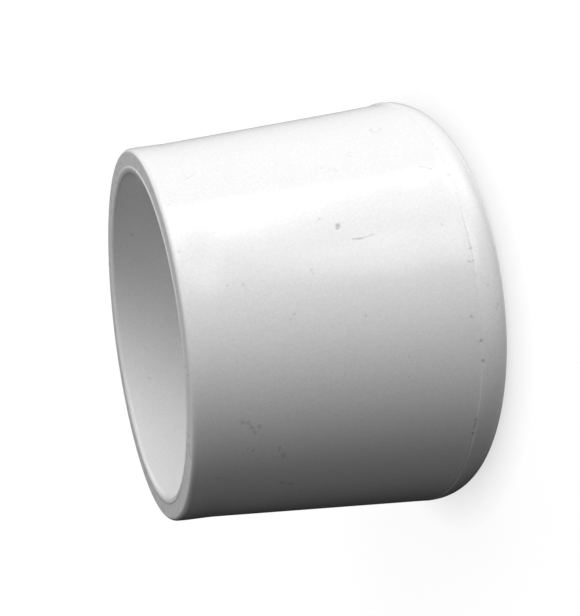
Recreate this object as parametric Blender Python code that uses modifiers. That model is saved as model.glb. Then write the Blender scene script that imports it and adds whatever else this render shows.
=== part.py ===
"""Slip cap for nominal 1 inch PVC pipe: one injection moulding with a solvent-cement socket.

Metres, +Z up. The cap stands on its closed end. The origin is the centre of the closed end's flat
outer face, and +Z runs along the socket's axis and out of the open mouth.
"""

import math

import bmesh
import bpy

MM = 0.001

# Socket, for a pipe of 33.4 mm outside diameter. It tapers so that the pipe wedges in the cement.
SOCKET_ENTRY_D = 33.66
SOCKET_BASE_D = 33.27
SOCKET_DEPTH = 25.0
PIPE_STOP_WIDTH = 1.45

# Shallow recess below the pipe stop, with a rounded floor corner.
END_WALL = 4.2
RECESS_DRAFT = 0.10
RECESS_CORNER_R = 1.1

# Barrel, drafted so that the mould half draws off towards the mouth.
LENGTH = 31.40
MOUTH_OD = 38.64
PARTING_OD = 43.57
PARTING_Z = 3.25
MOUTH_EDGE_R = 0.36
LEAD_IN_WIDTH = 0.70
LEAD_IN_DEPTH = 0.34

# Closed end, moulded in the other half, a little larger than the barrel where the halves meet.
END_OD = 43.98
END_STEP_RAMP = 0.22
KNUCKLE_RADIAL = 2.06
KNUCKLE_AXIAL = 3.19
END_FLAT_CENTRE = 0.0

SEGMENTS = 96
KNUCKLE_POINTS = 9
EDGE_POINTS = 4


def quarter(centre, radii, start, end, count):
    """Points along an elliptical arc in the (radius, height) plane, angles in degrees, both ends in."""
    points = []
    for i in range(count):
        a = math.radians(start + (end - start) * i / (count - 1))
        points.append((centre[0] + radii[0] * math.cos(a), centre[1] + radii[1] * math.sin(a)))
    return points


def cap_profile():
    """The half section, from the recess floor's centre up the bore, over the rim and down the outside."""
    stop_z = LENGTH - SOCKET_DEPTH
    entry_r = SOCKET_ENTRY_D / 2
    base_r = SOCKET_BASE_D / 2
    recess_r = base_r - PIPE_STOP_WIDTH
    mouth_r = MOUTH_OD / 2
    floor_r = recess_r - RECESS_DRAFT

    points = [(0.0, END_WALL)]
    points += quarter(
        (floor_r - RECESS_CORNER_R, END_WALL + RECESS_CORNER_R),
        (RECESS_CORNER_R, RECESS_CORNER_R), -90, 0, 5,
    )
    points += [(recess_r, stop_z), (base_r, stop_z), (entry_r, LENGTH - LEAD_IN_DEPTH)]
    # Lead-in: a shallow round from the bore out to the rim.
    points += quarter(
        (entry_r + LEAD_IN_WIDTH, LENGTH - LEAD_IN_DEPTH),
        (LEAD_IN_WIDTH, LEAD_IN_DEPTH), 180, 90, EDGE_POINTS,
    )[1:]
    # Rim, then the outer edge of the mouth.
    points += quarter(
        (mouth_r - MOUTH_EDGE_R, LENGTH - MOUTH_EDGE_R),
        (MOUTH_EDGE_R, MOUTH_EDGE_R), 90, 0, EDGE_POINTS,
    )
    # Barrel, the step at the parting line, and the knuckle of the closed end.
    points.append((PARTING_OD / 2, PARTING_Z + END_STEP_RAMP))
    points += quarter(
        (END_OD / 2 - KNUCKLE_RADIAL, KNUCKLE_AXIAL),
        (KNUCKLE_RADIAL, KNUCKLE_AXIAL), 0, -90, KNUCKLE_POINTS,
    )
    points.append((END_FLAT_CENTRE, 0.0))
    return points


def clear_scene():
    for obj in list(bpy.data.objects):
        bpy.data.objects.remove(obj, do_unlink=True)


def new_collection(name):
    collection = bpy.data.collections.new(name)
    bpy.context.scene.collection.children.link(collection)
    return collection


def pvc_material():
    """White rigid PVC with the slight gloss of a polished mould."""
    material = bpy.data.materials.new("white_pvc")
    material.use_nodes = True
    shader = material.node_tree.nodes["Principled BSDF"]
    shader.inputs["Base Color"].default_value = (0.86, 0.86, 0.85, 1.0)
    shader.inputs["Roughness"].default_value = 0.35
    shader.inputs["Metallic"].default_value = 0.0
    return material


def turned(name, profile, collection, material):
    """A solid of revolution about Z from a half section given in millimetres."""
    mesh = bpy.data.meshes.new(name)
    bm = bmesh.new()
    verts = [bm.verts.new((r * MM, 0.0, z * MM)) for r, z in profile]
    for a, b in zip(verts, verts[1:]):
        bm.edges.new((a, b))
    bm.to_mesh(mesh)
    bm.free()
    obj = bpy.data.objects.new(name, mesh)
    collection.objects.link(obj)
    mesh.materials.append(material)

    screw = obj.modifiers.new("turn", "SCREW")
    screw.axis = "Z"
    screw.angle = math.tau
    screw.steps = SEGMENTS
    screw.render_steps = SEGMENTS
    screw.screw_offset = 0.0
    screw.use_merge_vertices = True
    screw.merge_threshold = 1e-6
    screw.use_smooth_shade = True
    screw.use_normal_calculate = False
    return obj


def main():
    clear_scene()
    collection = new_collection("pipe_cap")
    turned("cap_body", cap_profile(), collection, pvc_material())


main()
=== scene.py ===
"""Looks for the pipe cap: a fine turned mesh, white PVC, a pale floor, soft studio light and the camera."""

import math

import bmesh
import bpy
from mathutils import Matrix, Vector


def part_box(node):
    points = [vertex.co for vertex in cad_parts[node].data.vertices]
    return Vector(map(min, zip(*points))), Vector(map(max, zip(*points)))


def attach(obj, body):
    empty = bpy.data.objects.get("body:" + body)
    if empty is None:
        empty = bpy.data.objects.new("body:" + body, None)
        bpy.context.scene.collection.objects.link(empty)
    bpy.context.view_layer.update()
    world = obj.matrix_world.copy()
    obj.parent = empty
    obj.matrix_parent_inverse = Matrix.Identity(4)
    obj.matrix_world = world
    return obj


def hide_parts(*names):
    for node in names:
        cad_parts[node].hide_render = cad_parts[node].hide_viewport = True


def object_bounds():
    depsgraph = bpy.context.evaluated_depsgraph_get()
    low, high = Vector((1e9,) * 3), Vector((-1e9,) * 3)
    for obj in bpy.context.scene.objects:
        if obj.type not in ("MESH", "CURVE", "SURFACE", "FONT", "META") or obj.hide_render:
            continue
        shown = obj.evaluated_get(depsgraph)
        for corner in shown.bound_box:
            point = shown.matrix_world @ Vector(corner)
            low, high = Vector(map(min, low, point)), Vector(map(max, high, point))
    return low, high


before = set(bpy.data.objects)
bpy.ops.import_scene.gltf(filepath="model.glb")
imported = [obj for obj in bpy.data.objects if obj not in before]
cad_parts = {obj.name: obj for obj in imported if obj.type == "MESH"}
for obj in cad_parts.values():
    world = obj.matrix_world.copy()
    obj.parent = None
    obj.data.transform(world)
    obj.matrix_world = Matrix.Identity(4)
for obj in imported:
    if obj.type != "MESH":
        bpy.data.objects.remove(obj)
cad_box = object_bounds()

MM = 0.001
TAU = math.tau

# ---------------------------------------------------------------- sizes, in millimetres, read from the frame where it has them
low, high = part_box("cap_body")
LENGTH = (high[2] - low[2]) / MM
END_R = (high[0] - low[0]) / MM / 2
ENTRY_R = 16.83
BASE_R = 16.635
STOP_Z = LENGTH - 25.0
RECESS_R = BASE_R - 1.45
END_WALL = 4.2
LEAD_IN = (0.64, 0.38)
LIP_R = 17.50  # a fine raised lip where the core pin met the rim
LIP_HEIGHT = 0.05
RIM_Z = LENGTH - LIP_HEIGHT
MOUTH_R = 19.20  # where the barrel's straight taper would end
MOUTH_FLARE = 0.15
MOUTH_EDGE = (0.40, 0.56)
PARTING_R = 21.783
PARTING_Z = 3.247
KNUCKLE_RADIAL = 2.055
KNUCKLE_AXIAL = 3.185
MISMATCH_X = 0.07  # the closed end's half of the mould sat this far to +X
LOW_SIDE = 0.10  # how much the closed end blends in to the barrel on its -X side
SWELL = 0.125  # how much the barrel swells to meet the closed end, about 52 degrees from +X towards -Y
SWELL_TURN = math.radians(52.0)
RISE, SHOULDER = PARTING_Z + 0.50, PARTING_Z - 0.04  # heights between which the step lies

SEGMENTS = 448
ALBEDO = 0.92


# ---------------------------------------------------------------- profile helpers
def arc(centre, radii, start, end, count):
    out = []
    for i in range(count):
        a = math.radians(start + (end - start) * i / (count - 1))
        out.append((centre[0] + radii[0] * math.cos(a), centre[1] + radii[1] * math.sin(a)))
    return out


def line(a, b, count):
    """Points after a, up to and including b."""
    return [
        (a[0] + (b[0] - a[0]) * i / count, a[1] + (b[1] - a[1]) * i / count)
        for i in range(1, count + 1)
    ]


def barrel_r(z):
    """The barrel's radius: a straight taper with a slight flare at the mouth."""
    taper = MOUTH_R + (PARTING_R - 0.012 - MOUTH_R) * (RIM_Z - z) / (RIM_Z - PARTING_Z - 0.50)
    t = min(max((z - RIM_Z + 4.5) / 4.0, 0.0), 1.0)
    return taper + MOUTH_FLARE * t * t * (3 - 2 * t)


def step_r(t):
    """The step's radius, t from 0 at its start on the barrel to 1 at the closed end."""
    return PARTING_R + (END_R - 0.004 - PARTING_R) * t * t * (3 - 2 * t)


def cap_profile():
    """(radius, height, zone) points from the recess floor's centre, up the bore, over the rim and down the outside."""
    pts = []

    def add(points, zone):
        pts.extend((r, z, zone) for r, z in points)

    def last():
        return pts[-1][:2]

    floor_r = RECESS_R - 0.10
    add([(0.0, END_WALL)], "floor")
    add(line(last(), (floor_r - 1.1, END_WALL), 8), "floor")
    add(arc((floor_r - 1.1, END_WALL + 1.1), (1.1, 1.1), -90, 0, 12)[1:], "floor")
    # the pipe stop's inner edge, its flat, and the small fillet where the bore starts
    add(line(last(), (RECESS_R - 0.0, STOP_Z - 0.18), 3), "stop")
    add(arc((RECESS_R + 0.18, STOP_Z - 0.18), (0.18, 0.18), 180, 90, 6)[1:], "stop")
    add(line(last(), (BASE_R - 0.25, STOP_Z), 3), "stop")
    add(arc((BASE_R - 0.25, STOP_Z + 0.25), (0.25, 0.25), -90, 0, 6)[1:], "stop")
    add(line(last(), (ENTRY_R, LENGTH - LEAD_IN[1]), 30), "bore")
    # lead-in round, the lip at its top, the flat rim and the mouth's outer edge
    add(arc((ENTRY_R + LEAD_IN[0], LENGTH - LEAD_IN[1]), LEAD_IN, 180, 95, 14)[1:], "rim")
    add([(LIP_R + 0.01, LENGTH), (LIP_R + 0.04, LENGTH - 0.006), (LIP_R + 0.065, LENGTH - 0.022)], "rim")
    add([(LIP_R + 0.09, RIM_Z + 0.012), (LIP_R + 0.12, RIM_Z + 0.003), (LIP_R + 0.17, RIM_Z)], "rim")
    edge = (barrel_r(RIM_Z - MOUTH_EDGE[1]) - MOUTH_EDGE[0], RIM_Z - MOUTH_EDGE[1])
    add(line(last(), (edge[0], RIM_Z), 6), "rim")
    add(arc(edge, MOUTH_EDGE, 90, 4, 16)[1:], "rim")
    # barrel down to the parting line, with the flash line standing a little proud
    top, foot = last()[1], PARTING_Z + 0.52
    add([(barrel_r(z), z) for z in (top + (foot - top) * i / 56 for i in range(1, 57))], "barrel")
    ridge = [(RISE - FLASH_Z + d) / (RISE - SHOULDER) for d in (-0.075, -0.035, 0.0, 0.035, 0.075)]
    evenly = [i / 12 for i in range(1, 13)]
    for t in sorted(ridge + [t for t in evenly if min(abs(t - u) for u in ridge) > 0.02]):
        add([(step_r(t), RISE + (SHOULDER - RISE) * t)], "step")
    add(arc((END_R - KNUCKLE_RADIAL, KNUCKLE_AXIAL), (KNUCKLE_RADIAL, KNUCKLE_AXIAL), 0, -90, 30), "end")
    # the flat end, a shallow gate dimple and the nub of the trimmed gate
    add(line(last(), (2.2, 0.0), 8), "end")
    add([(1.95, 0.02), (1.7, 0.09), (1.5, 0.14), (1.1, 0.15), (0.85, 0.145), (0.72, 0.09), (0.5, 0.06)], "end")
    add([(0.0, 0.055)], "end")
    return pts


def turned_mesh(name, profile, segments):
    mesh = bpy.data.meshes.new(name)
    bm = bmesh.new()
    rings = []
    for r, z, zone in profile:
        if r == 0.0:
            shift = MISMATCH_X if zone == "end" else 0.0
            rings.append([bm.verts.new((shift * MM, 0.0, z * MM))])
            continue
        ring = []
        for k in range(segments):
            a = TAU * k / segments
            x, y, h = place(r, z, a, zone)
            ring.append(bm.verts.new((x * MM, y * MM, h * MM)))
        rings.append(ring)
    for lower, upper in zip(rings, rings[1:]):
        for k in range(segments):
            n = (k + 1) % segments
            a = lower[k] if len(lower) > 1 else lower[0]
            b = lower[n] if len(lower) > 1 else lower[0]
            c = upper[n] if len(upper) > 1 else upper[0]
            d = upper[k] if len(upper) > 1 else upper[0]
            face = [a, b, c, d]
            unique = []
            for v in face:
                if v not in unique:
                    unique.append(v)
            f = bm.faces.new(unique)
            f.smooth = True
    bmesh.ops.recalc_face_normals(bm, faces=bm.faces)
    bm.to_mesh(mesh)
    bm.free()
    return mesh


def wave(a, terms):
    """A smooth closed ripple round the axis: a sum of (amplitude, count, phase) terms."""
    return sum(m * math.sin(n * a + p) for m, n, p in terms)


RIPPLE = ((0.010, 2, 0.6), (0.006, 3, 2.1), (0.003, 5, 4.0))
FLASH = ((0.008, 3, 0.9), (0.007, 7, 2.0), (0.006, 17, 1.1), (0.006, 41, 0.3), (0.005, 67, 1.7))
FLASH_TURN = math.radians(210.0)  # the flash stands most at this turn less than a quarter round
FLASH_Z = PARTING_Z + 0.20
CREASE = 0.06  # how much of the step is a sharp edge at the flash, less so near +X


def place(r, z, a, zone):
    """The point at a radius, height and angle, with the mould mismatch, the flash and slight unevenness."""
    x_shift = 0.0
    across = min(max((RISE - z) / (RISE - SHOULDER), 0.0), 1.0)
    across *= across * (3 - 2 * across)  # 0 on the barrel, 1 on the closed end
    if zone in ("step", "end"):
        x_shift = MISMATCH_X * across
        r -= LOW_SIDE * max(0.0, -math.cos(a)) ** 1.5 * min(z / PARTING_Z, 1.0) * across
    if zone in ("barrel", "step"):
        near = min(max(1.0 - (z - RISE) / 5.5, 0.0), 1.0)
        side = min(max((math.cos(a + SWELL_TURN) - 0.60) / 0.30, 0.0), 1.0)
        swell = SWELL * near * near * (3 - 2 * near) * side * side * (3 - 2 * side)
        r += (wave(a, RIPPLE) + swell) * (1.0 - across)
    if zone == "rim":
        z += 0.010 * math.sin(2 * a + 1.0) + 0.006 * math.sin(5 * a)
    if zone == "step":
        edge = min(max((FLASH_Z + 0.06 - z) / 0.12, 0.0), 1.0)
        sharp = 0.2 + 0.8 * min(max((0.80 - math.cos(a + math.radians(10.0))) / 0.35, 0.0), 1.0)
        r += CREASE * sharp * (edge * edge * (3 - 2 * edge) - across)
    flash = 1.0 - abs(z - FLASH_Z) / 0.075
    if flash > 0.0 and zone == "step":
        r += flash * max(0.0, 0.010 + wave(a, FLASH)) * (0.15 + 0.85 * max(0.0, math.sin(a + FLASH_TURN)) ** 2)
    return r * math.cos(a) + x_shift, r * math.sin(a), z


# ---------------------------------------------------------------- node helpers
class Nodes:
    """Short calls for building a shader tree."""

    def __init__(self, tree):
        self.tree = tree
        self.tree.nodes.clear()

    def new(self, kind, **props):
        node = self.tree.nodes.new(kind)
        for key, value in props.items():
            setattr(node, key, value)
        return node

    def link(self, source, target):
        self.tree.links.new(source, target)

    def put(self, node, name, value):
        socket = node.inputs[name]
        if isinstance(value, bpy.types.NodeSocket):
            self.link(value, socket)
        else:
            socket.default_value = value

    def math(self, op, a, b=None, c=None, clamp=False):
        node = self.new("ShaderNodeMath", operation=op, use_clamp=clamp)
        for i, value in enumerate((a, b, c)):
            if value is not None:
                self.put(node, i, value)
        return node.outputs[0]

    def vmath(self, op, a, b=None, scale=None):
        node = self.new("ShaderNodeVectorMath", operation=op)
        self.put(node, 0, a)
        if b is not None:
            self.put(node, 1, b)
        if scale is not None:
            self.put(node, "Scale", scale)
        return node.outputs["Value"] if op in ("DOT_PRODUCT", "LENGTH", "DISTANCE") else node.outputs[0]

    def remap(self, value, a, b, c=0.0, d=1.0, smooth=True):
        node = self.new("ShaderNodeMapRange", interpolation_type="SMOOTHSTEP" if smooth else "LINEAR")
        self.put(node, 0, value)
        for i, v in enumerate((a, b, c, d)):
            self.put(node, i + 1, v)
        return node.outputs[0]

    def noise(self, vector, scale, detail=2.0, rough=0.5, distortion=0.0):
        node = self.new("ShaderNodeTexNoise", noise_dimensions="3D")
        self.put(node, "Vector", vector)
        self.put(node, "Scale", scale)
        self.put(node, "Detail", detail)
        self.put(node, "Roughness", rough)
        self.put(node, "Distortion", distortion)
        return node.outputs["Fac"]


# ---------------------------------------------------------------- wear on the moulding
# Handling marks, each by its angle round the axis in degrees and its height in millimetres.
# Spots: radius in millimetres and how dark. Scuffs: a path, its half width and how dark.
# Rings: the radius of a pressed circle, its half width and how dark.
SPOTS = (
    (-67.0, 15.50, 0.34, 0.56),
    (-67.7, 15.66, 0.22, 0.44),
    (-64.3, 17.09, 0.22, 0.24),
    (-64.9, 17.35, 0.14, 0.14),
    (-78.0, 18.94, 0.17, 0.20),
    (-79.1, 18.83, 0.20, 0.16),
    (-71.0, 5.64, 0.18, 0.24),
    (-79.3, 25.48, 0.20, 0.22),
    (-79.0, 26.91, 0.18, 0.14),
    (-91.7, 14.54, 0.20, 0.20),
    (-88.9, 21.19, 0.20, 0.20),
    (-90.3, 21.60, 0.18, 0.16),
    (-103.6, 10.62, 0.20, 0.16),
    (-109.0, 10.72, 0.17, 0.16),
    (-47.4, 15.15, 0.17, 0.14),
    (-49.3, 13.80, 0.20, 0.14),
    (-52.1, 30.44, 0.18, 0.22),
    (-67.9, 30.74, 0.18, 0.20),
    (-57.5, 3.36, 0.20, 0.16),
    (-88.1, 2.38, 0.20, 0.16),
    (-93.1, 1.42, 0.20, 0.20),
    (-94.0, 1.65, 0.17, 0.16),
    (-95.2, 4.32, 0.22, 0.30),
    (-101.6, 3.51, 0.24, 0.44),
    (-106.8, 3.41, 0.24, 0.40),
    (-123.6, 3.57, 0.24, 0.36),
    (-128.2, 3.60, 0.26, 0.42),
    (-117.2, 26.66, 0.34, 0.20),
    (-117.4, 26.10, 0.26, 0.22),
    (-119.1, 25.81, 0.30, 0.24),
    (-119.1, 25.05, 0.34, 0.20),
    (-120.8, 25.51, 0.34, 0.20),
    (-126.1, 26.09, 0.26, 0.16),
    (-126.7, 25.51, 0.24, 0.16),
    (-129.9, 22.54, 0.34, 0.22),
    (-141.8, 22.22, 0.34, 0.22),
    (-142.7, 21.38, 0.30, 0.22),
    (-136.7, 28.70, 0.26, 0.16),
    (-147.3, 19.98, 0.30, 0.20),
)
SCUFFS = (
    (((-71.3, 14.42), (-71.5, 13.95), (-71.5, 13.50)), 0.15, 0.34),
    (((-71.5, 13.50), (-71.2, 12.90), (-70.9, 12.30)), 0.10, 0.22),
    (((-53.1, 5.77), (-53.5, 5.31)), 0.12, 0.24),
    (((-53.9, 5.04), (-54.4, 4.80)), 0.11, 0.22),
    (((-78.3, 3.70), (-78.4, 3.36)), 0.11, 0.34),
    (((-81.6, 3.90), (-81.7, 3.36)), 0.11, 0.32),
    (((-123.4, 3.55), (-125.5, 3.56), (-126.2, 3.58)), 0.15, 0.34),
    (((-116.6, 26.9), (-118.1, 26.0), (-119.3, 25.6), (-120.9, 25.5)), 0.16, 0.14),
    (((-126.5, 23.02), (-127.9, 22.98)), 0.17, 0.24),
    (((-129.2, 22.60), (-130.6, 22.50)), 0.17, 0.20),
    (((-142.0, 22.40), (-143.2, 21.10)), 0.20, 0.16),
    (((-33.2, 8.0), (-34.0, 8.25), (-35.4, 8.2), (-36.0, 7.8)), 0.14, 0.16),
    (((-33.4, 7.3), (-34.6, 7.25), (-35.6, 7.45)), 0.14, 0.14),
    (((-40.6, 27.07), (-41.9, 27.6), (-42.8, 28.3)), 0.13, 0.10),
)
RINGS = (
    (-43.9, 11.70, 0.34, 0.13, 0.06),
    (-47.6, 15.21, 0.45, 0.12, 0.05),
    (-57.0, 6.99, 0.30, 0.12, 0.06),
)
BORE_MID = 16.81
BORE_SPOTS = (
    (-178.5, 30.30, 0.24, 0.36),
    (46.8, 29.14, 0.24, 0.20),
    (107.8, 28.45, 0.24, 0.22),
    (88.0, 26.10, 0.20, 0.10),
    (128.0, 22.60, 0.20, 0.10),
)


def on_outside(angle, z):
    """The point of the outside at an angle and height."""
    if z > RISE:
        r, zone = barrel_r(z), "barrel"
    elif z > SHOULDER:
        r, zone = step_r((RISE - z) / (RISE - SHOULDER)), "step"
    else:
        drop = (KNUCKLE_AXIAL - z) / KNUCKLE_AXIAL
        r, zone = END_R - KNUCKLE_RADIAL * (1 - math.sqrt(1 - min(drop * drop, 1.0))), "end"
    return Vector(place(r, z, math.radians(angle), zone))


def marks(n, p, broken):
    """How much each point is darkened by the spots, scuffs and rings above, 0 to about 0.5."""
    total = 0.0

    def keep(distance, width, depth):
        cone = n.math("MULTIPLY_ADD", distance, -depth / width, depth)
        return n.math("MAXIMUM", cone, total)

    for angle, z, width, depth in SPOTS:
        total = keep(n.vmath("DISTANCE", p, tuple(on_outside(angle, z))), width, depth)
    for angle, z, width, depth in BORE_SPOTS:
        total = keep(n.vmath("DISTANCE", p, (BORE_MID * math.cos(math.radians(angle)), BORE_MID * math.sin(math.radians(angle)), z)), width, depth)
    for path, width, depth in SCUFFS:
        for start, end in zip(path, path[1:]):
            a, b = on_outside(*start), on_outside(*end)
            ab = b - a
            from_a = n.vmath("SUBTRACT", p, tuple(a))
            along = n.vmath("DOT_PRODUCT", from_a, tuple(ab / ab.length_squared))
            along = n.math("ADD", along, 0.0, clamp=True)
            nearest = n.vmath("SCALE", tuple(ab), scale=along)
            total = keep(n.vmath("DISTANCE", from_a, nearest), width, depth)
    for angle, z, ring, width, depth in RINGS:
        distance = n.vmath("DISTANCE", p, tuple(on_outside(angle, z)))
        band = n.math("ABSOLUTE", n.math("SUBTRACT", distance, ring))
        total = keep(n.math("ADD", band, n.math("MULTIPLY", broken, width)), width, depth)
    return total


def pvc_material():
    """Glossy white rigid PVC as moulded: faint orange peel and grain, matter rim, bore and end, light wear."""
    material = bpy.data.materials.new("white_pvc")
    material.use_nodes = True
    n = Nodes(material.node_tree)
    out = n.new("ShaderNodeOutputMaterial")
    shader = n.new("ShaderNodeBsdfPrincipled")
    # the point in millimetres, and its place on the turned shape
    p = n.vmath("SCALE", n.new("ShaderNodeTexCoord").outputs["Object"], scale=1000.0)
    split = n.new("ShaderNodeSeparateXYZ")
    n.link(p, split.inputs[0])
    x, y, z = split.outputs
    radius = n.math("SQRT", n.math("ADD", n.math("MULTIPLY", x, x), n.math("MULTIPLY", y, y)))
    rim = n.remap(z, LENGTH - 0.20, LENGTH - 0.08)
    bore = n.remap(radius, ENTRY_R + 0.55, ENTRY_R + 0.15)
    end = n.remap(z, 0.8, 0.15)
    flat = n.math("ADD", rim, end, clamp=True)

    # marks with ragged outlines, and small scattered specks
    rag = n.new("ShaderNodeTexNoise", noise_dimensions="3D")
    n.put(rag, "Vector", p)
    n.put(rag, "Scale", 4.5)
    n.put(rag, "Detail", 2.0)
    ragged = n.vmath("MULTIPLY_ADD", rag.outputs["Color"], (0.34, 0.34, 0.34))
    n.put(ragged.node, 2, n.vmath("ADD", p, (-0.17, -0.17, -0.17)))
    broken = n.remap(n.noise(p, 1.3, 1.0), 0.44, 0.58)
    wear = marks(n, ragged, broken)
    cells = n.new("ShaderNodeTexVoronoi", voronoi_dimensions="3D", feature="F1")
    n.put(cells, "Vector", ragged)
    n.put(cells, "Scale", 0.30)
    pick = n.new("ShaderNodeSeparateColor")
    n.link(cells.outputs["Color"], pick.inputs[0])
    chosen = n.remap(pick.outputs[0], 0.62, 0.90)
    size = n.math("MULTIPLY_ADD", pick.outputs[1], 0.035, 0.025)
    speck = n.math("SUBTRACT", 1.0, n.math("DIVIDE", cells.outputs["Distance"], size), clamp=True)
    speck = n.math("MULTIPLY", n.math("MULTIPLY", speck, chosen), 0.22)
    wear = n.math("MAXIMUM", wear, speck)

    # colour: slow flow variation, fine grain that is fainter on the matter faces, and dirt in the marks
    flow = n.noise(p, 0.11, 2.0, 0.5, 0.6)
    grain = n.noise(p, 5.0, 2.0, 0.7)
    tone = n.math("MULTIPLY_ADD", flow, 0.030, ALBEDO - 0.015)
    strength = n.math("MULTIPLY_ADD", flat, -0.18, 0.24)
    tone = n.math("MULTIPLY_ADD", n.math("SUBTRACT", grain, 0.5), strength, tone)
    tone = n.math("MULTIPLY", tone, n.math("MULTIPLY_ADD", wear, -1.2, 1.0))
    colour = n.new("ShaderNodeCombineColor")
    for i, tint in enumerate((1.0, 1.0, 1.0)):
        n.link(n.math("MULTIPLY", tone, tint), colour.inputs[i])
    n.link(colour.outputs[0], shader.inputs["Base Color"])

    # gloss: polished outside, matter on the rim, in the bore and on the end
    haze = n.noise(p, 0.45, 3.0, 0.6)
    rough = n.math("MULTIPLY_ADD", haze, 0.06, 0.11)
    rough = n.math("MULTIPLY_ADD", rim, 0.14, rough)
    rough = n.math("MULTIPLY_ADD", bore, 0.06, rough)
    rough = n.math("MULTIPLY_ADD", end, 0.10, rough)
    rough = n.math("MULTIPLY_ADD", wear, 0.60, rough)
    n.put(shader, "Roughness", rough)
    n.put(shader, "IOR", 1.53)

    # relief in millimetres: orange peel, fine grain and hairline rubbing
    peel = n.noise(p, 0.55, 1.0, 0.4)
    stretch = n.vmath("MULTIPLY", p, (1.6, 1.6, 16.0))
    hair = n.noise(stretch, 0.9, 2.0, 0.6, 0.4)
    hair = n.remap(n.math("ABSOLUTE", n.math("SUBTRACT", hair, 0.5)), 0.0, 0.020, 1.0, 0.0)
    hair = n.math("MULTIPLY", hair, n.math("SUBTRACT", 1.0, flat))
    height = n.math("MULTIPLY", peel, 0.0045)
    fine = n.math("MULTIPLY", grain, n.math("MULTIPLY_ADD", flat, -0.7, 1.0))
    height = n.math("MULTIPLY_ADD", fine, 0.0022, height)
    height = n.math("MULTIPLY_ADD", hair, -0.00012, height)
    bump = n.new("ShaderNodeBump")
    n.put(bump, "Strength", 1.0)
    n.put(bump, "Distance", MM)
    n.put(bump, "Height", height)
    n.link(bump.outputs[0], shader.inputs["Normal"])
    n.link(shader.outputs[0], out.inputs["Surface"])
    return material


# ---------------------------------------------------------------- the cap
mesh = turned_mesh("cap_fine", cap_profile(), SEGMENTS)
cap = bpy.data.objects.new("cap_fine", mesh)
bpy.context.scene.collection.objects.link(cap)
cap.data.materials.append(pvc_material())
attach(cap, "root")
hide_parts("cap_body")


# ---------------------------------------------------------------- floor
def floor_material():
    material = bpy.data.materials.new("studio_white_painted_contact_shadow")
    material.use_nodes = True
    n = Nodes(material.node_tree)
    out = n.new("ShaderNodeOutputMaterial")
    diffuse = n.new("ShaderNodeBsdfDiffuse")
    n.put(diffuse, "Color", (0.22, 0.22, 0.22, 1.0))
    glow = n.new("ShaderNodeEmission")
    # close under the cap the floor darkens a little more: a painted contact shadow, the glow lowered by ambient
    # occlusion
    near = n.new("ShaderNodeAmbientOcclusion", samples=16)
    n.put(near, "Distance", 0.0045)
    # painted shadow: the glow is dimmer where the cap is close
    n.put(glow, "Strength", n.math("MULTIPLY_ADD", near.outputs["AO"], 0.28, 0.63))
    add = n.new("ShaderNodeAddShader")
    n.link(diffuse.outputs[0], add.inputs[0])
    n.link(glow.outputs[0], add.inputs[1])
    n.link(add.outputs[0], out.inputs["Surface"])
    return material


bm = bmesh.new()
bmesh.ops.create_circle(bm, cap_ends=True, segments=96, radius=4.0)
floor_mesh = bpy.data.meshes.new("floor")
bm.to_mesh(floor_mesh)
bm.free()
floor = bpy.data.objects.new("floor", floor_mesh)
floor.location.z = cad_box[0][2]
bpy.context.scene.collection.objects.link(floor)
floor.data.materials.append(floor_material())
# The floor shows and takes the cap's shadow, and adds no light of its own to the cap.
floor.visible_diffuse = False
floor.visible_glossy = False
floor.visible_transmission = False
floor.visible_shadow = False


# ---------------------------------------------------------------- light
# One white room of soft lights, all in the world shader: broad lobes, a square softbox and a round
# one. Directions are compass angles from +X towards -Y, and heights above the horizon, in degrees.
def toward(az, el):
    a, e = math.radians(az), math.radians(el)
    return Vector((math.cos(e) * math.cos(a), -math.cos(e) * math.sin(a), math.sin(e)))


def lobe(n, ray, axis, spread):
    """A soft round glow about an axis, 1 at its middle."""
    dot = n.vmath("DOT_PRODUCT", ray, tuple(Vector(axis).normalized()))
    return n.math("EXPONENT", n.math("MULTIPLY", n.math("SUBTRACT", dot, 1.0), spread))


def panel(n, ray, corners, blur):
    """A lit panel bounded by the great circles through its corners, in order, 1 inside."""
    middle = Vector((0, 0, 0))
    for c in corners:
        middle += toward(*c)
    mask = None
    for c, d in zip(corners, corners[1:] + corners[:1]):
        normal = toward(*c).cross(toward(*d)).normalized()
        if normal.dot(middle) < 0:
            normal = -normal
        side = n.remap(n.vmath("DOT_PRODUCT", ray, tuple(normal)), -math.radians(blur), math.radians(blur))
        mask = side if mask is None else n.math("MULTIPLY", mask, side)
    return mask


def disc(n, ray, centre, radius, blur):
    dot = n.vmath("DOT_PRODUCT", ray, tuple(toward(*centre)))
    return n.remap(dot, math.cos(math.radians(radius + blur)), math.cos(math.radians(radius - blur)))


def corner_of(start, heading, length):
    h = math.radians(heading)
    return (start[0] + length * math.cos(h), start[1] + length * math.sin(h))


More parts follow.
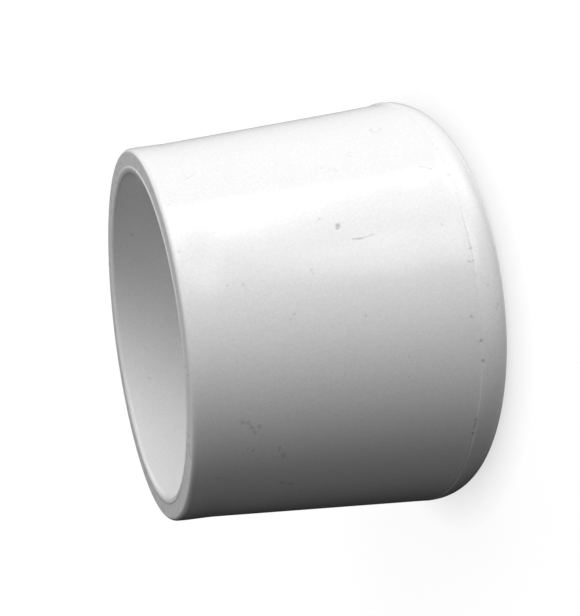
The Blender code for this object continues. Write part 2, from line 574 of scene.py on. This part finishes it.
SOFTBOX_FOOT = (16.0, -14.5)
SOFTBOX_TILT = 23.0
SOFTBOX = [
    SOFTBOX_FOOT,
    corner_of(SOFTBOX_FOOT, SOFTBOX_TILT, 42.0),
    corner_of(corner_of(SOFTBOX_FOOT, SOFTBOX_TILT, 42.0), SOFTBOX_TILT + 90, 36.0),
    corner_of(SOFTBOX_FOOT, SOFTBOX_TILT + 90, 36.0),
]
STREAK = [(34.0, -8.0), (59.0, -6.6), (59.0, -5.7), (34.0, -7.1)]
LOBES = (
    ((0.71, -0.29, -0.64), 20, 3.61),
    ((0.40, -0.65, 0.64), 20, 2.63),
    ((0.40, 0.65, 0.64), 20, 2.24),
    ((0.74, -0.18, 0.64), 20, 1.42),
    ((0.19, 0.58, -0.79), 20, 1.41),
    ((0.80, -0.58, -0.16), 20, 1.31),
    ((0.89, -0.29, 0.34), 20, 0.88),
    ((-0.19, 0.58, 0.79), 20, 0.74),
    ((0.55, 0.76, 0.34), 20, 0.55),
    ((0.71, 0.29, -0.64), 20, 0.47),
    ((0.56, -0.76, -0.34), 20, 0.35),
    ((-0.80, 0.58, 0.16), 20, 0.29),
    ((0.56, 0.76, -0.34), 20, 0.28),
    ((0.06, -0.76, 0.64), 20, 0.23),
    ((0.50, 0.58, -0.64), 20, 0.22),
    ((-0.89, 0.29, -0.34), 20, 0.19),
    ((-0.49, 0.36, -0.79), 20, 0.17),
    ((0.30, 0.93, -0.19), 20, 0.16),
    ((0.79, 0.58, 0.19), 20, 0.16),
    ((0.80, 0.58, -0.16), 20, 0.06),
)
SOFTBOX_GAIN = 3.40
DISC_GAIN = 2.60
STREAK_GAIN = 2.50


def room(n):
    """The room's brightness towards the world's direction."""
    ray = n.new("ShaderNodeTexCoord").outputs["Generated"]
    total = None
    for axis, spread, gain in LOBES:
        part = n.math("MULTIPLY", lobe(n, ray, axis, spread), gain)
        total = part if total is None else n.math("ADD", total, part)
    total = n.math("MULTIPLY_ADD", panel(n, ray, SOFTBOX, 0.5), SOFTBOX_GAIN, total)
    total = n.math("MULTIPLY_ADD", disc(n, ray, (61.3, -22.0), 15.0, 0.8), DISC_GAIN, total)
    total = n.math("MULTIPLY_ADD", panel(n, ray, STREAK, 0.3), STREAK_GAIN, total)
    return total


world = bpy.data.worlds.new("studio")
bpy.context.scene.world = world
world.use_nodes = True
w = Nodes(world.node_tree)
w_out = w.new("ShaderNodeOutputWorld")
w_room = w.new("ShaderNodeBackground")
w.put(w_room, "Strength", room(w))
w_white = w.new("ShaderNodeBackground")
w.put(w_white, "Color", (1.0, 1.0, 1.0, 1.0))
w.put(w_white, "Strength", 1.0)
w_path = w.new("ShaderNodeLightPath")
w_mix = w.new("ShaderNodeMixShader")
w.link(w_path.outputs["Is Camera Ray"], w_mix.inputs[0])
w.link(w_room.outputs[0], w_mix.inputs[1])
w.link(w_white.outputs[0], w_mix.inputs[2])
w.link(w_mix.outputs[0], w_out.inputs[0])

# A soft fill from the far side, low, so that the cap's back reads as white plastic too.
fill = bpy.data.lights.new("back_fill", "SUN")
fill.energy = 1.2
fill.angle = math.radians(12.0)
fill_lamp = bpy.data.objects.new("back_fill", fill)
fill_lamp.rotation_euler = Vector((0.0, 0.995, -0.1)).to_track_quat("Z", "Y").to_euler()
fill_lamp.visible_glossy = False
bpy.context.scene.collection.objects.link(fill_lamp)

# ---------------------------------------------------------------- camera
# The camera stands in front of the cap at -Y, a little above the mouth's plane, rolled so that the
# socket's axis lies across the picture with the mouth to the left.
right = Vector((-0.12504382, -0.29353557, -0.94773462))
up = Vector((0.99215122, -0.03699518, -0.11944586))
back = Vector((0.0, -0.95523203, 0.29585769))
place_mm = Vector((0.960206, -133.922756, 56.786882))
camera_data = bpy.data.cameras.new("camera")
camera_data.sensor_fit = "HORIZONTAL"
camera_data.sensor_width = 36.0
camera_data.lens = 36.0 * 1300.0 / 580.0
camera_data.clip_start = 0.005
camera_data.clip_end = 50.0
camera_data.dof.use_dof = False
camera = bpy.data.objects.new("camera", camera_data)
bpy.context.scene.collection.objects.link(camera)
rotation = Matrix((right, up, back)).transposed()
camera.matrix_world = Matrix.Translation(place_mm * MM) @ rotation.to_4x4()
bpy.context.scene.camera = camera

bpy.context.scene.view_settings.view_transform = "Standard"
bpy.context.scene.view_settings.look = "None"
bpy.context.scene.view_settings.exposure = 0.0
bpy.context.scene.view_settings.gamma = 1.0
